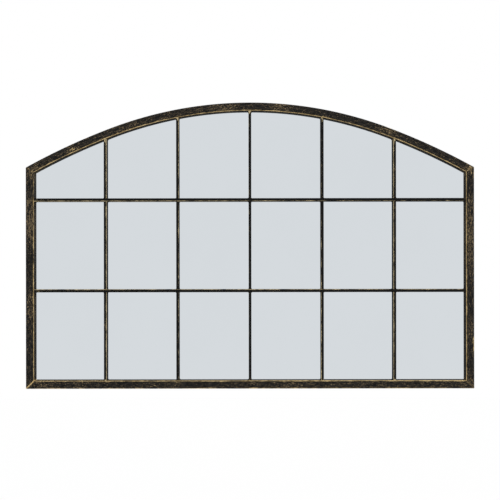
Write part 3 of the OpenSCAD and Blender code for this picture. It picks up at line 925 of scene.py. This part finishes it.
# The hangers. On each rear stile a steel plate with its upper tongue rolled into a knuckle is held by
# two screws. A ring of 3 mm nickel-plated wire swings in the knuckle and hangs on the wall's hook.
plate_low, plate_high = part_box("right_hanger_plate")
plate_t = button_y[1] - button_y[0]
plate_corner = 0.002
knuckle_w = 0.012
knuckle_bore_r = 0.00175
knuckle_r = knuckle_bore_r + plate_t
wire_r = 0.0015
ring_side_x = 0.0115
ring_bend_r = 0.003
bow_drop = 0.005
rolled = math.radians(315)
roll_steps = 28
bend_steps = 8
bow_steps = 32
square_corner = 1.2

nickel = plated_steel("nickel_plate", shown(148, 145, 138), shown(188, 184, 176), 0.1)
for side, prefix in (-1, "left"), (1, "right"):
    pivot = pivots[f"{prefix}_hanger_ring"]
    flat_top = pivot.z - knuckle_r
    middle = Vector((side * (plate_low.x + plate_high.x) / 2, 0, (plate_low.z + flat_top) / 2))
    bm = stamped_plate(plate_high.x - plate_low.x, flat_top - plate_low.z, plate_corner, button_edge)
    bmesh.ops.translate(bm, vec=middle, verts=bm.verts[:])
    plate_verts = set(bm.verts)

    start = Vector((pivot.x, button_y[0], flat_top - plate_corner))
    bm.verts.layers.float.new("along")
    strip = bmesh.ops.create_grid(bm, x_segments=1, y_segments=1, size=0.5)["verts"]
    size = Matrix.Diagonal((knuckle_w, plate_t, 1, 1))
    bmesh.ops.transform(
        bm, matrix=Matrix.Translation(start + Vector((0, plate_t / 2, 0))) @ size, verts=strip)
    lift = Vector((0, pivot.y - knuckle_r - button_y[0], pivot.z - start.z))
    sides = draw_straight(bm, edges_among(strip), lift)
    draw_on(bm, sides, turned(pivot, -rolled / roll_steps, "X"), roll_steps, 0)
    bmesh.ops.holes_fill(bm, edges=bm.edges[:], sides=0)
    corners = [edge for edge in bm.edges
               if not plate_verts & set(edge.verts) and edge.calc_face_angle(0) > square_corner]
    bevel_edges(bm, corners, button_edge, segments=2)
    finished_piece(f"{prefix}_hanger", bm, [zinc], [f"{prefix}_hanger_plate"])

    bm = bmesh.new()
    bm.verts.layers.float.new("along")
    wire = bmesh.ops.create_circle(bm, radius=wire_r, segments=20)["verts"]
    stand = Matrix.Translation(pivot) @ Matrix.Rotation(math.pi / 2, 4, "Y")
    bmesh.ops.transform(bm, matrix=stand, verts=wire)
    loop = bm.edges[:]
    bar_half = Vector((ring_side_x - ring_bend_r, 0, 0))
    down = Vector((0, 0, ring_bend_r - bow_drop))
    corner = pivot + bar_half + Vector((0, 0, -ring_bend_r))
    far_corner = pivot - bar_half + Vector((0, 0, -ring_bend_r))
    bow_middle = pivot - Vector((0, 0, bow_drop))
    loop = draw_on(bm, loop, Matrix.Translation(bar_half), 1, 0)
    loop = draw_on(bm, loop, turned(corner, math.pi / 2 / bend_steps), bend_steps, 0)
    loop = draw_on(bm, loop, Matrix.Translation(down), 1, 0)
    loop = draw_on(bm, loop, turned(bow_middle, math.pi / bow_steps), bow_steps, 0)
    loop = draw_on(bm, loop, Matrix.Translation(-down), 1, 0)
    loop = draw_on(bm, loop, turned(far_corner, math.pi / 2 / bend_steps), bend_steps, 0)
    draw_on(bm, loop, Matrix.Translation(bar_half), 1, 0)
    bmesh.ops.remove_doubles(bm, verts=bm.verts[:], dist=0.00002)
    finished_piece(f"{prefix}_ring", bm, [nickel], [f"{prefix}_hanger_ring"],
                   body=f"{prefix}_hanger_ring")

screw_pitch = 0.018
screws_middle = sum(corner.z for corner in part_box("hanger_screws")) / 2
stile_x = pivots["right_turn_button_1"].x
bm = bmesh.new()
for number, (side, step) in enumerate([(-1, -1), (-1, 1), (1, -1), (1, 1)]):
    z = screws_middle + step * screw_pitch / 2
    pan_head_screw(bm, side * stile_x, button_y[1], z, math.radians(20 + 51 * number))
bmesh.ops.holes_fill(bm, edges=bm.edges[:], sides=0)
finished_piece("hanger_plate_screws", bm, [zinc], ["hanger_screws"])


# The wall bumpers. Four moulded rubber studs, 7 mm high, near the corners of the rear frame hold
# the mirror off the wall. Each is slightly tapered, with a rounded rim and a dimple in the middle.
bumper_low, bumper_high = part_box("wall_bumpers")
bumper_r = 0.0045
bumper_rim = 0.0007
bumper_taper = 0.93
dimple_r = 0.0016
dimple_d = 0.0008

bumper_rubber, tree, shader = new_finish("bumper_rubber", specular_ior_level=0.4)
place = object_place(tree)
grain = cloud(tree, place, 0.0006, detail=3)
bloom = cloud(tree, place, 0.008, detail=4)
feed(tree, shader.inputs["Base Color"], blended(
    tree, fade(tree, bloom, 0.35, 0.7), shown(46, 46, 48), shown(66, 66, 67)))
feed(tree, shader.inputs["Roughness"], weighed(tree, (1.0, 0.55), (grain, 0.3)))
raised(tree, shader, grain, 0.00012, 0.6)

bm = bmesh.new()
for x in (-stile_x, stile_x):
    for z in (bumper_low.z + bumper_r, bumper_high.z - bumper_r):
        made = bmesh.ops.create_circle(bm, cap_ends=True, radius=bumper_r, segments=32)["verts"]
        stand = Matrix.Translation((x, bumper_low.y, z)) @ Matrix.Rotation(-math.pi / 2, 4, "X")
        bmesh.ops.transform(bm, matrix=stand, verts=made)
        end = bmesh.ops.extrude_face_region(bm, geom=faces_at(made), use_keep_orig=True)["geom"]
        tip = verts_in(end)
        middle = Vector((x, bumper_high.y, z))
        taper = Matrix.Translation(middle) @ Matrix.Scale(bumper_taper, 4) @ Matrix.Translation(-middle)
        bmesh.ops.translate(bm, vec=(0, bumper_high.y - bumper_low.y, 0), verts=tip)
        bmesh.ops.transform(bm, matrix=taper, verts=tip)
        cap = [item for item in end if isinstance(item, bmesh.types.BMFace)]
        rim = edges_among(tip)
        bmesh.ops.inset_region(bm, faces=cap, thickness=bumper_taper * bumper_r - dimple_r)
        sunk = bmesh.ops.extrude_face_region(bm, geom=cap)["geom"]
        bmesh.ops.delete(bm, geom=cap, context="FACES_ONLY")
        bmesh.ops.translate(bm, vec=(0, -dimple_d, 0), verts=verts_in(sunk))
        bevel_edges(bm, rim, bumper_rim, segments=4)
finished_piece("bumper_studs", bm, [bumper_rubber], ["wall_bumpers"])


# The studio. White surroundings that the mirror shows, a soft lamp high at the front right, a weaker
# one behind for the back, and a pale floor well below the mirror, which hangs at its wall height.
scene = bpy.context.scene
scene.view_settings.view_transform = "Standard"
ambient = 0.62
key_strength = 1.6
back_strength = 1.2
lamp_spread = 24
floor_z = -1.4
floor_size = 14
floor_grey = (0.35, 0.35, 0.35, 1)
floor_glow = 0.57


def shows_white(tree):
    """1 for what the camera, a reflection or a clear material sees, and 0 for light on a surface."""
    light_path = tree.nodes.new("ShaderNodeLightPath")
    seen = maths(tree, "MAXIMUM", light_path.outputs["Is Camera Ray"], light_path.outputs["Is Glossy Ray"])
    return maths(tree, "MAXIMUM", seen, light_path.outputs["Is Transmission Ray"])


world = bpy.data.worlds.new("white_studio")
world.use_nodes = True
scene.world = world
tree = world.node_tree
background = tree.nodes["Background"]
background.inputs["Color"].default_value = (1, 1, 1, 1)
strength = weighed(tree, (1.0, ambient), (shows_white(tree), 1 - ambient))
feed(tree, background.inputs["Strength"], strength)

for name, azimuth, elevation, strength in (
    ("key_lamp", 28, 44, key_strength),
    ("back_lamp", -150, 40, back_strength),
):
    lamp = bpy.data.lights.new(name, "SUN")
    lamp.energy = strength
    lamp.angle = math.radians(lamp_spread)
    stand = bpy.data.objects.new(name, lamp)
    stand.rotation_euler = (math.radians(90 - elevation), 0, math.radians(azimuth))
    scene.collection.objects.link(stand)

mesh = bpy.data.meshes.new("studio_floor")
bm = bmesh.new()
bmesh.ops.create_grid(bm, x_segments=8, y_segments=8, size=floor_size / 2)
bmesh.ops.translate(bm, vec=(0, 0, floor_z), verts=bm.verts[:])
bm.to_mesh(mesh)
bm.free()
floor = bpy.data.objects.new("studio_floor", mesh)
scene.collection.objects.link(floor)
pale, tree, shader = new_finish(
    "pale_floor", base_color=floor_grey, roughness=1.0, specular_ior_level=0.0)
glow = tree.nodes.new("ShaderNodeEmission")
feed(tree, glow.inputs["Strength"], maths(tree, "MULTIPLY", shows_white(tree), floor_glow))
both = tree.nodes.new("ShaderNodeAddShader")
tree.links.new(shader.outputs[0], both.inputs[0])
tree.links.new(glow.outputs[0], both.inputs[1])
tree.links.new(both.outputs[0], tree.nodes["Material Output"].inputs["Surface"])
mesh.materials.append(pale)

# The camera stands in front of the middle, a little above it, and leans 0.07 degrees to its side, as
# the photograph shows the frame.
view_distance = 2.5
view_width = 1.2262
view_z = -0.21
frame_middle_z = -0.1609
view_lean = 0.07
camera = bpy.data.cameras.new("camera")
camera.sensor_width = 36
camera.lens = camera.sensor_width * view_distance / view_width
camera.shift_y = (frame_middle_z - view_z) / view_width
stand = bpy.data.objects.new("camera", camera)
stand.location = (0, front_y - view_distance, view_z)
stand.rotation_euler = (math.radians(90), math.radians(view_lean), 0)
scene.collection.objects.link(stand)
scene.camera = stand
